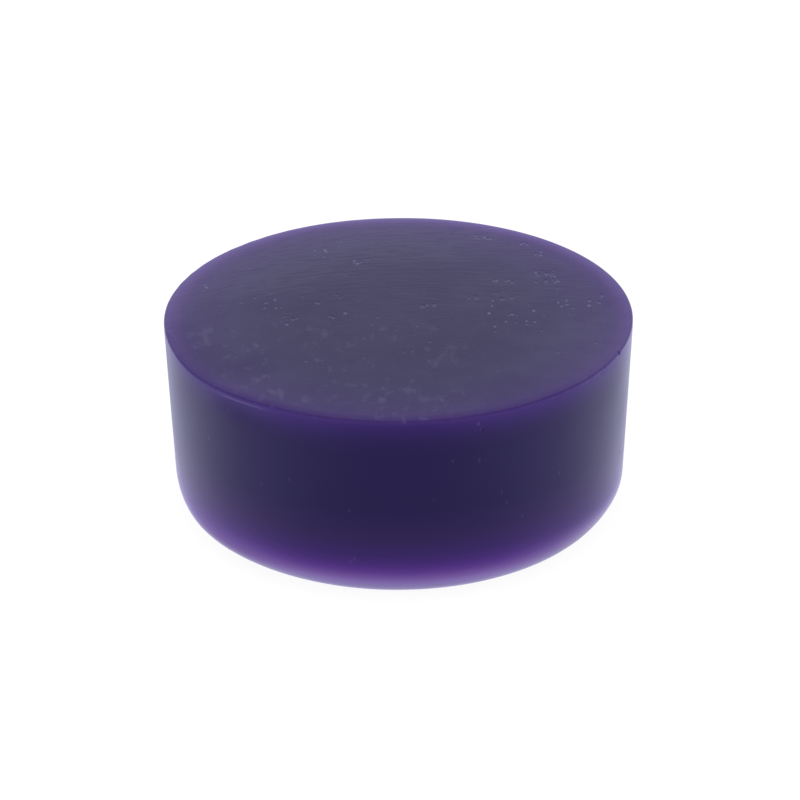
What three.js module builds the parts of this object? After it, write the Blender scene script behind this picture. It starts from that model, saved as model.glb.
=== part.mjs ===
// A shaving soap puck: one cake of translucent glycerin soap, poured into a round mould and turned out.
// Millimetres, +Z up. The origin is the centre of the base, which is the face from the mould's floor.
import * as THREE from "three";

// Driving dimensions
const TOP_DIAMETER = 70; // across the pour face, the widest part of the cake
const HEIGHT = 30;
const DRAFT_DEG = 2; // the mould narrows towards its floor, so that the cake slips out
const BASE_CORNER_RADIUS = 5; // the mould's rounded corner between floor and wall
const TOP_EDGE_RADIUS = 0.5; // the almost sharp edge that the soap sets to at the mould's mouth
const SIDES = 120; // flats round the cake
const ARC_STEPS = 3; // each rounded edge has twice this many flats

const SOAP_VIOLET = 0x3a2366;

// Half of the cake's upright section: out along the base, round its corner, up the drafted wall,
// over the top edge and back to the axis.
function cakeProfile() {
  const draft = THREE.MathUtils.degToRad(DRAFT_DEG);
  const edgeCentreX = TOP_DIAMETER / 2 - TOP_EDGE_RADIUS;
  const edgeCentreZ = HEIGHT - TOP_EDGE_RADIUS;

  // Both roundings touch the same wall line, which leans outwards by the draft angle.
  const rise = edgeCentreZ - BASE_CORNER_RADIUS;
  const radiusDrop = BASE_CORNER_RADIUS - TOP_EDGE_RADIUS;
  const cornerCentreX = edgeCentreX - rise * Math.tan(draft) - radiusDrop / Math.cos(draft);

  const profile = new THREE.Path();
  profile.moveTo(0, 0);
  profile.lineTo(cornerCentreX, 0);
  profile.absarc(cornerCentreX, BASE_CORNER_RADIUS, BASE_CORNER_RADIUS, -Math.PI / 2, -draft, false);
  profile.absarc(edgeCentreX, edgeCentreZ, TOP_EDGE_RADIUS, -draft, Math.PI / 2, false);
  profile.lineTo(0, HEIGHT);
  return profile.getPoints(ARC_STEPS);
}

// The whole cake is the profile turned once round the upright axis.
function soapPuck() {
  const geometry = new THREE.LatheGeometry(cakeProfile(), SIDES);
  geometry.rotateX(Math.PI / 2); // the lathe turns about Y, and the cake stands on Z
  const material = new THREE.MeshStandardMaterial({ color: SOAP_VIOLET, roughness: 0.2, metalness: 0 });
  const mesh = new THREE.Mesh(geometry, material);
  mesh.name = "soap_puck";
  return mesh;
}

const puck = new THREE.Group();
puck.add(soapPuck());

export default puck;
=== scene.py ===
"""A shaving soap puck: one cake of deep violet, translucent glycerin soap, bare on a white table.
Blender 4.5. Everything is in metres, with +Z up and the cake's base on z = 0."""

import math
import random

import bmesh
import bpy
from mathutils import Matrix, Vector, kdtree, noise


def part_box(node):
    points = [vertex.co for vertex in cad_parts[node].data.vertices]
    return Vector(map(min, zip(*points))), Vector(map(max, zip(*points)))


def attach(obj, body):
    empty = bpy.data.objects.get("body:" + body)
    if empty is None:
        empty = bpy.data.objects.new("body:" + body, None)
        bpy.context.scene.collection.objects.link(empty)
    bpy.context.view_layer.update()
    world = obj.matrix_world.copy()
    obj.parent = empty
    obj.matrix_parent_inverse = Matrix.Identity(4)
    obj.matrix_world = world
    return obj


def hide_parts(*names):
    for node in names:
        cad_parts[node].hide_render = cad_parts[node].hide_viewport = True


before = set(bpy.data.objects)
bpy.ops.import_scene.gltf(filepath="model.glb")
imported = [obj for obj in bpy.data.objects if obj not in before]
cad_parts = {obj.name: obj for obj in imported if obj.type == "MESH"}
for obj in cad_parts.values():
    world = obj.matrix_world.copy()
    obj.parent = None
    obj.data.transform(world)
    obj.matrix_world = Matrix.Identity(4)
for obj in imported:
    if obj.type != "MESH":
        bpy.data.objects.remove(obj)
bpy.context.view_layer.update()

# ---------------------------------------------------------------------------
# The cake is one casting of clear glycerin soap with violet dye, poured hot into a round plastic
# mould that narrows a little towards a rounded floor. The set cake is pushed out, and stands with
# the mould's floor down and its wide pour face up. Nothing is fixed to it.

MM = 0.001
low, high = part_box("soap_puck")
RIM_RADIUS = high.x
CAKE_HEIGHT = high.z - low.z
DRAFT = math.radians(2)
BASE_CORNER = 5 * MM
TOP_EDGE = 0.25 * MM
SIDES = 240
CORNER_STEPS = 12
EDGE_STEPS = 4
WALL_ROWS = 28
RING_WIDTH = 0.8 * MM
BASE_RING_WIDTH = 3 * MM
FINE_RING = 0.25 * MM

# The wall line meets the two flat faces at these radii, before its corners are rounded.
rim_corner = RIM_RADIUS - TOP_EDGE + TOP_EDGE / math.cos(DRAFT) + TOP_EDGE * math.tan(DRAFT)
foot_corner = rim_corner - CAKE_HEIGHT * math.tan(DRAFT)

cake = bmesh.new()
bmesh.ops.create_cone(
    cake,
    cap_ends=True,
    segments=SIDES,
    radius1=foot_corner,
    radius2=rim_corner,
    depth=CAKE_HEIGHT,
    matrix=Matrix.Translation((0, 0, CAKE_HEIGHT / 2)),
)


def round_ring(height, radius, turn, steps):
    """Rounds the ring of edges at a height, where the surface turns through the angle turn."""
    ring = [e for e in cake.edges if all(abs(v.co.z - height) < 0.01 * MM for v in e.verts)]
    bmesh.ops.bevel(
        cake,
        geom=ring,
        offset=radius * math.tan(turn / 2),
        offset_type="OFFSET",
        segments=steps,
        profile=0.5,
        affect="EDGES",
        material=-1,
    )


round_ring(0, BASE_CORNER, math.pi / 2 - DRAFT, CORNER_STEPS)
round_ring(CAKE_HEIGHT, TOP_EDGE, math.pi / 2 + DRAFT, EDGE_STEPS)

# Rows up the wall, closer together under the rim, and rings across both flat faces, closer
# together at their edges, down to a small fan at the middle.
uprights = [e for e in cake.edges if abs(e.verts[0].co.z - e.verts[1].co.z) > CAKE_HEIGHT / 2]
bmesh.ops.subdivide_edges(cake, edges=uprights, cuts=WALL_ROWS, use_grid_fill=True)
for row in range(2, 10):
    everything = cake.verts[:] + cake.edges[:] + cake.faces[:]
    level = Vector((0, 0, CAKE_HEIGHT - row * FINE_RING))
    bmesh.ops.bisect_plane(cake, geom=everything, dist=0.001 * MM, plane_co=level, plane_no=(0, 0, 1))
for side, widest in ((-1, BASE_RING_WIDTH), (1, RING_WIDTH)):
    flat = max(cake.faces, key=lambda f: side * f.normal.z * f.calc_area())
    width = FINE_RING
    while flat.verts[0].co.xy.length > 2 * widest:
        bmesh.ops.inset_region(cake, faces=[flat], thickness=width, use_even_offset=True)
        width = min(widest, 1.25 * width)
    bmesh.ops.poke(cake, faces=[flat])


def ease(share):
    """0 to 1 with no sudden start or stop."""
    share = min(1.0, max(0.0, share))
    return share * share * (3 - 2 * share)


def hump(value, centre, reach):
    """1 at the centre, easing to 0 at the reach on either side."""
    return ease(1 - abs(value - centre) / reach)


def azimuth_of(point):
    """Degrees round from the front, positive to the right."""
    return math.degrees(math.atan2(point.x, -point.y))


def on_wall(azimuth, height):
    """The point of the wall at an azimuth in degrees from the front, and a height in millimetres."""
    a = math.radians(azimuth)
    radius = foot_corner + height * MM * math.tan(DRAFT)
    return Vector((radius * math.sin(a), -radius * math.cos(a), height * MM))


def inwards(point):
    """The level direction from a point to the cake's axis."""
    return -Vector((point.x, point.y, 0)).normalized()


# The soap shrank a little as it set, so no face is truly flat: there are shallow swells
# everywhere, both sides of the rim roll over softly, and the rim sinks at the left of the front.
SWELL = 0.05 * MM
SWELL_LENGTH = 12 * MM
RIPPLE = 0.015 * MM
RIPPLE_LENGTH = 3.5 * MM
ROLL_REACH = 1.6 * MM
ROLL_DOWN = 0.06 * MM
FRONT_ROLL_DOWN = 0.11 * MM  # more of it round the front
FRONT_ROLLS = ((0, 90), (-45, 35))  # azimuth in degrees, and how far it reaches on either side
ROLL_IN = 0.04 * MM
UNEVEN_RIM = 0.25 * MM
UNEVEN_PLACES = ((-130, 50), (42, 25))  # at the back left, and at the right of the front
UNEVEN_DEGREES = 6  # from one bump to the next
SAG = 0.55 * MM
SAG_AZIMUTH = -58
SAG_HALF_WIDTH = 28
SAG_REACH = 12 * MM
LIP_IN = 0.22 * MM  # the wall steps in under a short lip, at the left of the front
LIP_AZIMUTH = -39
LIP_HALF_WIDTH = 12
LIP_HEIGHT = 0.7 * MM
LIP_STEP = 0.5 * MM
LIP_HOLLOW_END = 5 * MM
LIP_HOLLOW_FADE = 3 * MM
FULL_FOOT = 0.33 * MM
FOOT_PLACES = ((-50, 1), (55, -0.9), (-90, -0.6))  # azimuth, and how much fuller or leaner
FOOT_HALF_WIDTH = 30
FOOT_MIDDLE = 3 * MM
cake.normal_update()
shifts = {}
for v in cake.verts:
    azimuth = azimuth_of(v.co)
    inside = rim_corner - v.co.xy.length
    under = CAKE_HEIGHT - v.co.z
    outward = Vector((v.co.x, v.co.y, 0)).normalized()

    swell = noise.noise(v.co / SWELL_LENGTH) * 0.5 + 0.5
    ripple = noise.noise(v.co / RIPPLE_LENGTH) * 0.5 + 0.5
    off_the_table = ease(v.co.z / (2 * MM))
    shift = -v.normal * off_the_table * (SWELL * swell + RIPPLE * ripple)

    roll = (max(0, 1 - inside / ROLL_REACH) * max(0, 1 - under / ROLL_REACH)) ** 2
    down = ROLL_DOWN + FRONT_ROLL_DOWN * sum(hump(azimuth, *front) for front in FRONT_ROLLS)
    shift -= roll * (ROLL_IN * outward + down * Vector((0, 0, 1)))

    uneven = abs(noise.noise(Vector((azimuth / UNEVEN_DEGREES, 0, 7))))
    uneven *= sum(hump(azimuth, *stretch) for stretch in UNEVEN_PLACES)
    shift -= roll * UNEVEN_RIM * uneven * outward

    lip = hump(azimuth, LIP_AZIMUTH, LIP_HALF_WIDTH)
    lip *= ease((under - LIP_HEIGHT) / LIP_STEP)
    lip *= ease((LIP_HOLLOW_END - under) / LIP_HOLLOW_FADE)
    shift -= LIP_IN * lip * outward

    foot = sum(share * hump(azimuth, middle, FOOT_HALF_WIDTH) for middle, share in FOOT_PLACES)
    shift += FULL_FOOT * foot * hump(v.co.z, FOOT_MIDDLE, FOOT_MIDDLE) * outward

    sag = hump(azimuth, SAG_AZIMUTH, SAG_HALF_WIDTH)
    sag *= ease(1 - math.hypot(inside, under) / SAG_REACH)
    shifts[v] = shift + Vector((0, 0, -SAG * sag))
for v, shift in shifts.items():
    v.co += shift

# Burst bubbles in the pour face, in clusters and scattered, faint marks in the wall, and nicks
# in the rim. Each is a dimple, and the surface is cut finer round it to carry the shape. Bubbles
# and most marks have a pale, frosted floor, and nicks are clear soap.
random.seed(41)
BUBBLE_CLUSTERS = (  # across and along the pour face in mm, half spread each way, how many
    (23, 12, 2, 2.5, 18),
    (15.5, 10.5, 2, 0.5, 5),
    (13.5, 27, 1.5, 0.5, 6),
    (19, 24.5, 1.5, 0.5, 4),
    (22, 20.5, 1, 1, 4),
    (14, 3.5, 3.5, 2, 8),
    (17, -2.5, 4, 3, 9),
    (24.5, 2.5, 1, 1.5, 5),
    (29.5, 4, 2, 2.5, 4),
    (4.5, 2, 1, 0.5, 5),
    (-12, 19, 1, 4, 4),
    (-6.5, 18, 1, 0.5, 4),
    (-20, 3.5, 2.5, 2, 6),
    (-16.5, -2.5, 1.5, 1.5, 4),
    (-12, 3.5, 1, 0.5, 3),
    (-9, -1, 1.5, 1, 4),
    (-29.5, 9, 1, 1.5, 3),
)
SCATTERED_BUBBLES = 44
MARKS = (  # azimuth in degrees, height in mm, depth as a share of the radius, how pale
    (12.5, 23.0, 0.15, 0.06),
    (19.0, 22.5, 0.15, 0.06),
    (25.0, 16.5, 0.15, 0.05),
    (26.5, 14.5, 0.15, 0.04),
    (31.0, 11.5, 0.15, 0.05),
    (42.0, 16.5, 0.1, 0.04),
    (8.0, 17.0, 0.15, 0.03),
    (61.0, 20.5, 0.06, 0.06),
    (-12.0, 15.0, 0.15, 0.05),
    (-11.0, 7.0, 0.15, 0.08),
    (-12.0, 6.5, 0.15, 0.06),
    (-35.0, 16.5, 0.1, 0.06),
    (-27.0, 18.5, 0.15, 0.04),
    (-44.5, 26.5, 0.1, 0.07),
    (-54.0, 22.0, 0.06, 0.07),
    (-53.0, 20.0, 0.06, 0.06),
    (18.5, 28.5, 0.2, 0.14),
    (19.5, 27.5, 0.5, 0),
)
NICKS = ((66.5, 0.5), (58.0, 0.3), (55.5, 0.25), (-64.0, 0.3))  # azimuth, and size in mm
SMALL_NICKS = 14
BACK_MARKS = 36
NICK_HEIGHT = 29.9
BUBBLE_SIZE = (0.22, 0.34)
SCATTERED_SIZE = (0.19, 0.3)
MARK_SIZE = (0.2, 0.28)
BACK_MARK_SIZE = (0.2, 0.26)
SMALL_NICK_SIZE = (0.14, 0.24)
BUBBLE_DEPTH = 0.16
SHALLOW_DEPTH = 0.1
NICK_DEPTH = 0.4
SCATTER_RADIUS = 31 * MM
PALEST = 0.36  # the palest bubbles are rare

DOWN = Vector((0, 0, -1))
ALONG = Vector((1, 1.9, 1))  # bubbles in the pour face were drawn out along the blade's way
UPRIGHT = Vector((1, 1, 1.7))
ROUND = Vector((1, 1, 1))
dimples = []  # place, way in, stretch, radius, depth as a share of the radius, how pale
for across, along, spread_x, spread_y, count in BUBBLE_CLUSTERS:
    for _ in range(count):
        x = across + spread_x * random.uniform(-1, 1)
        y = along + spread_y * random.uniform(-1, 1)
        spot = Vector((x * MM, y * MM, CAKE_HEIGHT))
        pale = 0.09 + PALEST * random.random() ** 2
        dimples.append((spot, DOWN, ALONG, random.uniform(*BUBBLE_SIZE) * MM, BUBBLE_DEPTH, pale))
for _ in range(SCATTERED_BUBBLES):
    turn = random.uniform(0, 2 * math.pi)
    away = SCATTER_RADIUS * math.sqrt(random.random())
    spot = Vector((away * math.cos(turn), away * math.sin(turn), CAKE_HEIGHT))
    size = random.uniform(*SCATTERED_SIZE) * MM
    pale = random.uniform(0.04, 0.13)
    dimples.append((spot, DOWN, ALONG, size, SHALLOW_DEPTH, pale))
for azimuth, height, depth, pale in MARKS:
    spot = on_wall(azimuth, height)
    dimples.append((spot, inwards(spot), UPRIGHT, random.uniform(*MARK_SIZE) * MM, depth, pale))
for _ in range(BACK_MARKS):
    spot = on_wall(random.uniform(70, 290), random.uniform(7, 27))
    size = random.uniform(*BACK_MARK_SIZE) * MM
    pale = random.uniform(0.03, 0.1)
    dimples.append((spot, inwards(spot), UPRIGHT, size, SHALLOW_DEPTH, pale))
small_nicks = [(random.uniform(22, 62), random.uniform(*SMALL_NICK_SIZE)) for _ in range(SMALL_NICKS)]
for azimuth, size in list(NICKS) + small_nicks:
    spot = on_wall(azimuth, NICK_HEIGHT)
    way_in = (inwards(spot) + DOWN).normalized()
    dimples.append((spot, way_in, ROUND, size * MM, NICK_DEPTH, 0))

nearest = kdtree.KDTree(len(dimples))
for i, (spot, *_) in enumerate(dimples):
    nearest.insert(spot, i)
nearest.balance()

DIMPLE_GRAIN = 0.13 * MM
for _ in range(5):
    long_edges = []
    for e in cake.edges:
        middle = (e.verts[0].co + e.verts[1].co) / 2
        _, i, away = nearest.find(middle)
        length = e.calc_length()
        reach = 1.05 * dimples[i][3] * max(dimples[i][2])
        if length > DIMPLE_GRAIN and away < reach + 0.35 * length:
            long_edges.append(e)
    if not long_edges:
        break
    around = list(dict.fromkeys(f for e in long_edges for f in e.link_faces))
    bmesh.ops.triangulate(cake, faces=around)
    bmesh.ops.subdivide_edges(cake, edges=long_edges, cuts=1, use_grid_fill=True, use_single_edge=True)

frost = cake.verts.layers.float.new("frost")
for v in cake.verts:
    _, i, _ = nearest.find(v.co)
    spot, way_in, stretch, size, depth, pale = dimples[i]
    away = Vector((a / b for a, b in zip(v.co - spot, stretch))).length
    bowl = max(0.0, 1 - (away / size) ** 2)
    v[frost] = pale * min(1.0, 1.2 * bowl)
    v.co += way_in * size * depth * bowl
bmesh.ops.remove_doubles(cake, verts=cake.verts, dist=0.001 * MM)
bmesh.ops.recalc_face_normals(cake, faces=cake.faces)
cake_mesh = bpy.data.meshes.new("soap_cake")
cake.to_mesh(cake_mesh)
cake.free()
cake_mesh.shade_smooth()
soap_cake = bpy.data.objects.new("soap_cake", cake_mesh)
bpy.context.scene.collection.objects.link(soap_cake)

# The soap's colour: almost black violet where it is deep. Over it is painted light: a lighter
# violet glow where light shines through the soap, in a band round the rim and in the rounded foot,
# and at the foot a painted reflection of the white table too. Each band is a list of
# (millimetres from the sharp corner, colour), for the part of the cake in its name.
soap = bpy.data.materials.new("violet_glycerin_soap")
soap.use_nodes = True
nodes, links = soap.node_tree.nodes, soap.node_tree.links
shader = nodes["Principled BSDF"]


def plug(socket, value):
    """Sets a socket to a number or a colour, or joins it to another node's output."""
    if isinstance(value, bpy.types.NodeSocket):
        links.new(value, socket)
    elif isinstance(value, tuple):
        socket.default_value = (*value, 1)
    else:
        socket.default_value = value


def maths(operation, a, b=0.0):
    node = nodes.new("ShaderNodeMath")
    node.operation = operation
    plug(node.inputs[0], a)
    plug(node.inputs[1], b)
    return node.outputs[0]


def fade(value, start, end, at_start=0.0, at_end=1.0):
    """Eases from one amount to another as value goes from start to end."""
    node = nodes.new("ShaderNodeMapRange")
    node.interpolation_type = "SMOOTHSTEP"
    for name, amount in (("Value", value), ("From Min", start), ("From Max", end)):
        plug(node.inputs[name], amount)
    plug(node.inputs["To Min"], at_start)
    plug(node.inputs["To Max"], at_end)
    return node.outputs[0]


def colour_by(value, reach, stops):
    """Colour by a distance in metres, with stops of (millimetres, colour)."""
    spread = nodes.new("ShaderNodeMapRange")
    plug(spread.inputs["Value"], value)
    plug(spread.inputs["From Max"], reach)
    node = nodes.new("ShaderNodeValToRGB")
    plug(node.inputs[0], spread.outputs[0])
    elements = node.color_ramp.elements
    while len(elements) < len(stops):
        elements.new(0.5)
    for element, (distance, _) in zip(elements, stops):
        element.position = distance * MM / reach
    for element, (_, colour) in zip(elements, stops):
        element.color = (*colour, 1)
    return node.outputs["Color"]


def blend(kind, factor, a, b):
    node = nodes.new("ShaderNodeMix")
    node.data_type = "RGBA"
    node.blend_type = kind
    plug(node.inputs["Factor"], factor)
    plug(node.inputs["A"], a)
    plug(node.inputs["B"], b)
    return node.outputs["Result"]


place = nodes.new("ShaderNodeTexCoord").outputs["Object"]
split = nodes.new("ShaderNodeSeparateXYZ")
links.new(place, split.inputs[0])
x, y, z = split.outputs


def length_of(across, along):
    """The length of a line from its two sides."""
    squares = maths("ADD", maths("MULTIPLY", across, across), maths("MULTIPLY", along, along))
    return maths("SQRT", squares)


radius = length_of(x, y)
below_top = maths("SUBTRACT", CAKE_HEIGHT, z)


def corner_distance(corner_radius, height):
    """How far the surface is from a sharp corner of the cake's outline."""
    return length_of(maths("SUBTRACT", corner_radius, radius), height)


from_rim = corner_distance(rim_corner, below_top)
from_foot = corner_distance(foot_corner, z)
on_top = fade(below_top, 0, 1.1 * MM, 1, 0)

CLEAR = (0, 0, 0)
SOAP_DEEP = (0.0058, 0.0003, 0.034)
RIM_REACH = 20 * MM
FOOT_REACH = 15 * MM
# Painted light: the three rim bands are a painted glow of light shining through the soap's thin rim, on
# the pour face and on the wall.
RIM_FACE_PAINTED_GLOW = (
    (0.0, (0.088, 0.054, 0.145)),
    (0.7, (0.088, 0.053, 0.155)),
    (1.2, (0.076, 0.038, 0.130)),
    (1.8, (0.061, 0.028, 0.104)),
    (2.5, (0.040, 0.016, 0.070)),
    (3.5, (0.027, 0.011, 0.048)),
    (5.8, (0.020, 0.011, 0.031)),
    (12.0, (0.009, 0.006, 0.013)),
    (20.0, CLEAR),
)
RIM_FRONT_PAINTED_GLOW = (
    (0.0, (0.0300, 0.0130, 0.056)),
    (0.7, (0.0270, 0.0100, 0.051)),
    (1.2, (0.0220, 0.0060, 0.044)),
    (1.8, (0.0190, 0.0050, 0.039)),
    (2.5, (0.0140, 0.0030, 0.030)),
    (3.5, (0.0100, 0.0025, 0.024)),
    (5.8, (0.0070, 0.0025, 0.016)),
    (12.0, (0.0026, 0.0015, 0.005)),
    (20.0, CLEAR),
)
RIM_WALL_PAINTED_GLOW = (
    (0.0, (0.035, 0.014, 0.080)),
    (0.4, (0.026, 0.009, 0.066)),
    (0.9, (0.021, 0.007, 0.052)),
    (1.5, (0.016, 0.004, 0.042)),
    (2.2, (0.010, 0.003, 0.026)),
    (3.6, (0.004, 0.001, 0.010)),
    (5.5, CLEAR),
)
# Painted light: the two foot bands are a painted glow of the table's light shining up through the
# rounded foot, with a painted reflection of the white table at its lowest edge.
FOOT_FRONT_PAINTED_LIGHT = (
    (2.0, (0.150, 0.116, 0.183)),
    (2.7, (0.168, 0.114, 0.223)),
    (3.2, (0.165, 0.100, 0.215)),
    (3.6, (0.141, 0.077, 0.187)),
    (4.3, (0.107, 0.048, 0.151)),
    (5.0, (0.068, 0.023, 0.114)),
    (5.8, (0.046, 0.012, 0.089)),
    (6.5, (0.031, 0.008, 0.062)),
    (7.8, (0.017, 0.005, 0.036)),
    (10.5, (0.008, 0.003, 0.011)),
    (15.0, CLEAR),
)
FOOT_SIDES_PAINTED_LIGHT = (
    (2.0, (0.100, 0.080, 0.100)),
    (2.7, (0.105, 0.070, 0.115)),
    (3.2, (0.108, 0.063, 0.130)),
    (3.6, (0.112, 0.062, 0.142)),
    (4.3, (0.115, 0.062, 0.155)),
    (5.0, (0.093, 0.050, 0.143)),
    (5.8, (0.066, 0.031, 0.107)),
    (6.5, (0.044, 0.018, 0.077)),
    (7.8, (0.027, 0.010, 0.048)),
    (10.5, (0.014, 0.004, 0.018)),
    (15.0, CLEAR),
)
to_the_side = maths("ABSOLUTE", x)
# Painted light: the rim glow is painted fainter at the front of the pour face, and fainter at the middle
# of the front wall.
face_painted_glow = colour_by(from_rim, RIM_REACH, RIM_FACE_PAINTED_GLOW)
front_painted_glow = colour_by(from_rim, RIM_REACH, RIM_FRONT_PAINTED_GLOW)
face_painted_glow = blend("MIX", fade(y, -RIM_RADIUS, 0.95 * RIM_RADIUS), front_painted_glow, face_painted_glow)
wall_painted_glow = colour_by(from_rim, RIM_REACH, RIM_WALL_PAINTED_GLOW)
wall_painted_glow = blend("MIX", fade(to_the_side, 2 * MM, 17 * MM, 0.72, 1), CLEAR, wall_painted_glow)
rim_painted_glow = blend("MIX", on_top, wall_painted_glow, face_painted_glow)
# Painted light: the foot's painted glow and reflection are stronger at the sides of the front than in
# front, and weaker towards the right.
foot_front_painted_light = colour_by(from_foot, FOOT_REACH, FOOT_FRONT_PAINTED_LIGHT)
foot_sides_painted_light = colour_by(from_foot, FOOT_REACH, FOOT_SIDES_PAINTED_LIGHT)
foot_painted_light = blend("MIX", fade(to_the_side, 12 * MM, 30 * MM), foot_front_painted_light, foot_sides_painted_light)
foot_painted_light = blend("MIX", fade(x, 17 * MM, 30 * MM, 0, 0.2), foot_painted_light, CLEAR)
body = blend("ADD", 1, rim_painted_glow, foot_painted_light)
body = blend("ADD", 1, body, SOAP_DEEP)

# The pour face is satin, with a thin pale bloom that is heaviest towards the back, and fine
# streaks there, left by drawing a blade across the setting soap. They die out at the left rim.
BLOOM = (0.0185, 0.019, 0.0165)
PALE_SPOT = (0.024, 0.024, 0.026)
FROST = (0.17, 0.16, 0.23)
BLOOM_PATCHES = ((29, -13, 16, 0.6), (-30, -13, 11, 0.75), (14, 7, 9, 0.3))  # mm, mm, reach, amount
UNEVENNESS = 16 * MM
RELIEF = 0.03 * MM
bend = fade(x, -10 * MM, 10 * MM, 10, 3)  # per metre: how fast the streaks curve
across_streaks = maths("ADD", y, maths("MULTIPLY", maths("MULTIPLY", x, x), bend))


def streaks(length, width, detail, offset):
    """Noise drawn out along the streaks, in marks of a length and a width."""
    node = nodes.new("ShaderNodeCombineXYZ")
    plug(node.inputs[0], maths("DIVIDE", x, length))
    plug(node.inputs[1], maths("DIVIDE", across_streaks, width))
    plug(node.inputs[2], offset)
    texture = nodes.new("ShaderNodeTexNoise")
    plug(texture.inputs["Vector"], node.outputs[0])
    plug(texture.inputs["Scale"], 1)
    plug(texture.inputs["Detail"], detail)
    return texture.outputs["Fac"]


def mottle(size, detail, offset, lengthen=1):
    """Noise in patches of a size, round or drawn out along the blade's way."""
    shift = nodes.new("ShaderNodeVectorMath")
    shift.operation = "MULTIPLY_ADD"
    plug(shift.inputs[0], place)
    shift.inputs[1].default_value = (1, 1 / lengthen, 1)
    shift.inputs[2].default_value = (offset, offset, offset)
    texture = nodes.new("ShaderNodeTexNoise")
    plug(texture.inputs["Vector"], shift.outputs[0])
    plug(texture.inputs["Scale"], 1 / size)
    plug(texture.inputs["Detail"], detail)
    return texture.outputs["Fac"]


broad_streaks = streaks(14 * MM, 2.4 * MM, 2, 3)
fine_streaks = streaks(4 * MM, 0.8 * MM, 3, 11)
wide_patches = mottle(16 * MM, 2, 0.4)
clouds = mottle(3.5 * MM, 3, 0.2)
spots = mottle(1.5 * MM, 2, 0.7, 1.9)

unevenly = maths("MULTIPLY", maths("SUBTRACT", wide_patches, 0.5), UNEVENNESS)


def patch(across, along, reach, amount):
    """A soft round patch on the pour face, strongest at its middle."""
    away = length_of(maths("SUBTRACT", x, across), maths("SUBTRACT", y, along))
    return fade(maths("ADD", away, unevenly), reach, 0.3 * reach, 0, amount)


slanting = maths("ADD", y, maths("MULTIPLY", x, -0.55))
bloom = fade(maths("ADD", slanting, unevenly), 11 * MM, 29 * MM)
for across, along, reach, amount in BLOOM_PATCHES:
    bloom = maths("MAXIMUM", bloom, patch(across * MM, along * MM, reach * MM, amount))
off_left_rim = fade(x, -33 * MM, -20 * MM, 0.2, 1)
streaky = maths("MULTIPLY", fade(fine_streaks, 0.35, 0.65, -0.5, 0.5), fade(y, -8 * MM, 12 * MM, 0.2, 1))
streaky = maths("MULTIPLY", streaky, off_left_rim)
cloudy = maths("MULTIPLY", fade(clouds, 0.3, 0.7, -0.5, 0.5), 0.25)
cloudy = maths("ADD", maths("MULTIPLY", streaky, 0.35), cloudy)
bloom = maths("MULTIPLY", bloom, maths("ADD", fade(broad_streaks, 0.35, 0.65, 0.6, 1), streaky))
bare = maths("MULTIPLY", fade(from_rim, 4 * MM, 0.5 * MM), fade(y, 5 * MM, -25 * MM))
bloom = maths("ADD", bloom, maths("SUBTRACT", 0.25, maths("MULTIPLY", bare, 0.25)))
bloom = maths("MULTIPLY", maths("ADD", bloom, cloudy), on_top)
body = blend("ADD", bloom, body, BLOOM)

frosty = maths("MULTIPLY", fade(spots, 0.56, 0.74), fade(y, 2 * MM, -10 * MM))
frosty = maths("MULTIPLY", maths("MULTIPLY", frosty, fade(x, 16 * MM, 0)), on_top)
body = blend("ADD", frosty, body, PALE_SPOT)

frost_node = nodes.new("ShaderNodeAttribute")
frost_node.attribute_name = "frost"
frosted = frost_node.outputs["Fac"]
body = blend("MIX", frosted, body, FROST)
plug(shader.inputs["Base Color"], body)

satin = fade(fine_streaks, 0.3, 0.7, 0.22, 0.32)
smooth_wall = fade(wide_patches, 0.3, 0.7, 0.26, 0.3)
smooth_wall = maths("MULTIPLY", smooth_wall, maths("SUBTRACT", 1, on_top))
roughness = maths("ADD", maths("MULTIPLY", satin, on_top), smooth_wall)
roughness = maths("MAXIMUM", roughness, maths("MULTIPLY", frosted, 0.6))
plug(shader.inputs["Roughness"], roughness)

relief = maths("MULTIPLY", maths("MULTIPLY", fine_streaks, on_top), fade(y, -12 * MM, 14 * MM, 0.15, 1))
relief = maths("MULTIPLY", relief, off_left_rim)
relief = maths("MULTIPLY", relief, fade(from_rim, 1 * MM, 7 * MM, 0.3, 1))
bump = nodes.new("ShaderNodeBump")
plug(bump.inputs["Height"], relief)
plug(bump.inputs["Distance"], RELIEF)
plug(bump.inputs["Strength"], 1)
links.new(bump.outputs[0], shader.inputs["Normal"])

shader.inputs["IOR"].default_value = 1.46
shader.inputs["Specular IOR Level"].default_value = 0.2
soap_cake.data.materials.append(soap)

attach(soap_cake, "root")
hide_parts("soap_puck")

# ---------------------------------------------------------------------------
# The studio: the cake stands on a plain white table that is lit evenly from all round, with a
# soft cool light, and the camera looks down on it a little from in front. None of it is part
# of the cake.

COOL_WHITE = (1, 1, 1.33, 1)
TABLE_LIGHT = 1.06
SIDE_LIGHT = 0.37
LENS = 133.1
AIM = Vector((0.15 * MM, 0, CAKE_HEIGHT / 2 + 0.18 * MM))
DISTANCE = 448.2 * MM
ELEVATION = math.radians(27.38)
ROLL = math.radians(-0.42)
floor_mesh = bpy.data.meshes.new("table")
table = bmesh.new()
just_under = Matrix.Translation((0, 0, -0.05 * MM))
bmesh.ops.create_circle(table, cap_ends=True, segments=64, radius=4, matrix=just_under)
table.to_mesh(floor_mesh)
table.free()
floor = bpy.data.objects.new("table", floor_mesh)
bpy.context.scene.collection.objects.link(floor)

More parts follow.
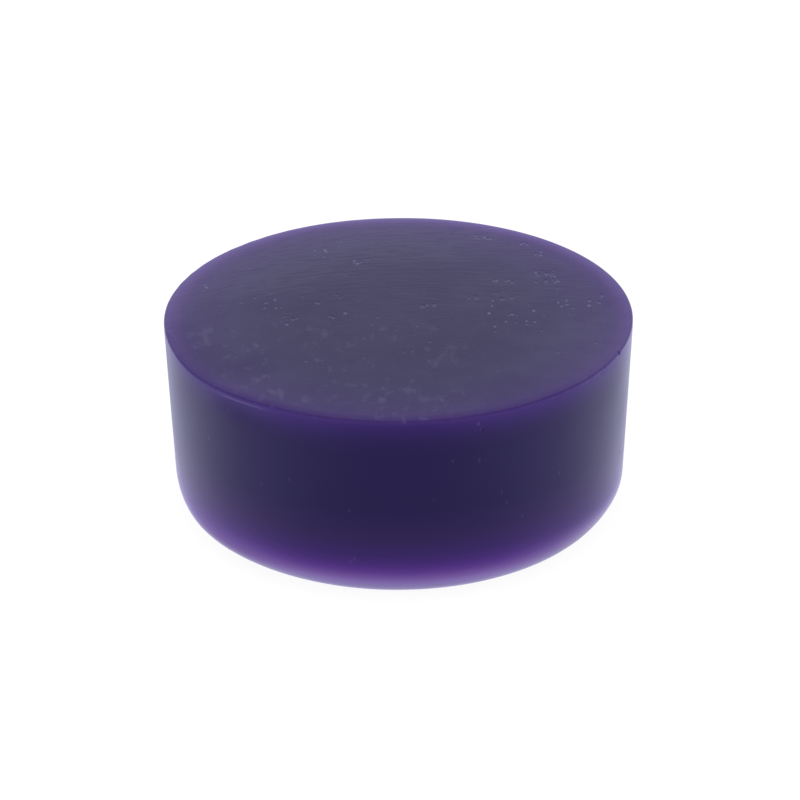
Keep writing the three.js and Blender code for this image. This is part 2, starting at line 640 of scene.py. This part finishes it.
# The table is a plain white that takes a faint shadow. To everything but the camera it sends up
# a cool light, which is stronger from both sides of the cake's front half than from in front.
white_table = bpy.data.materials.new("white_table")
white_table.use_nodes = True
nodes, links = white_table.node_tree.nodes, white_table.node_tree.links
plain_white = nodes["Principled BSDF"]
plain_white.inputs["Base Color"].default_value = (0.14, 0.14, 0.105, 1)
plain_white.inputs["Roughness"].default_value = 0.9
plain_white.inputs["Specular IOR Level"].default_value = 0
plain_white.inputs["Emission Color"].default_value = (1, 1, 1, 1)
plain_white.inputs["Emission Strength"].default_value = 0.915
split = nodes.new("ShaderNodeSeparateXYZ")
links.new(nodes.new("ShaderNodeTexCoord").outputs["Object"], split.inputs[0])
at_sides = fade(maths("ABSOLUTE", split.outputs[0]), 10 * MM, 60 * MM, 0, SIDE_LIGHT)
in_front = fade(split.outputs[1], -12 * MM, 28 * MM, 1, 0.1)
cool_light = nodes.new("ShaderNodeEmission")
cool_light.inputs["Color"].default_value = COOL_WHITE
plug(cool_light.inputs["Strength"], maths("ADD", maths("MULTIPLY", at_sides, in_front), TABLE_LIGHT))
either = nodes.new("ShaderNodeMixShader")
links.new(nodes.new("ShaderNodeLightPath").outputs["Is Camera Ray"], either.inputs[0])
links.new(cool_light.outputs[0], either.inputs[1])
links.new(plain_white.outputs[0], either.inputs[2])
links.new(either.outputs[0], nodes["Material Output"].inputs["Surface"])
floor.data.materials.append(white_table)

# The air round the table is plain white to the camera, and lights the cake with the cool white.
world = bpy.data.worlds.new("studio")
world.use_nodes = True
nodes, links = world.node_tree.nodes, world.node_tree.links
nodes["Background"].inputs["Color"].default_value = COOL_WHITE
plain_air = nodes.new("ShaderNodeBackground")
plain_air.inputs["Color"].default_value = (1, 1, 1, 1)
either = nodes.new("ShaderNodeMixShader")
links.new(nodes.new("ShaderNodeLightPath").outputs["Is Camera Ray"], either.inputs[0])
links.new(nodes["Background"].outputs[0], either.inputs[1])
links.new(plain_air.outputs[0], either.inputs[2])
links.new(either.outputs[0], nodes["World Output"].inputs["Surface"])
bpy.context.scene.world = world

camera_data = bpy.data.cameras.new("camera")
camera_data.lens = LENS
camera_data.sensor_width = 36
camera_data.clip_start = 0.01
camera = bpy.data.objects.new("camera", camera_data)
bpy.context.scene.collection.objects.link(camera)
camera.location = AIM + DISTANCE * Vector((0, -math.cos(ELEVATION), math.sin(ELEVATION)))
facing = (AIM - camera.location).to_track_quat("-Z", "Y")
camera.rotation_mode = "QUATERNION"
camera.rotation_quaternion = facing @ Matrix.Rotation(ROLL, 4, "Z").to_quaternion()
bpy.context.scene.camera = camera
bpy.context.scene.view_settings.view_transform = "Standard"
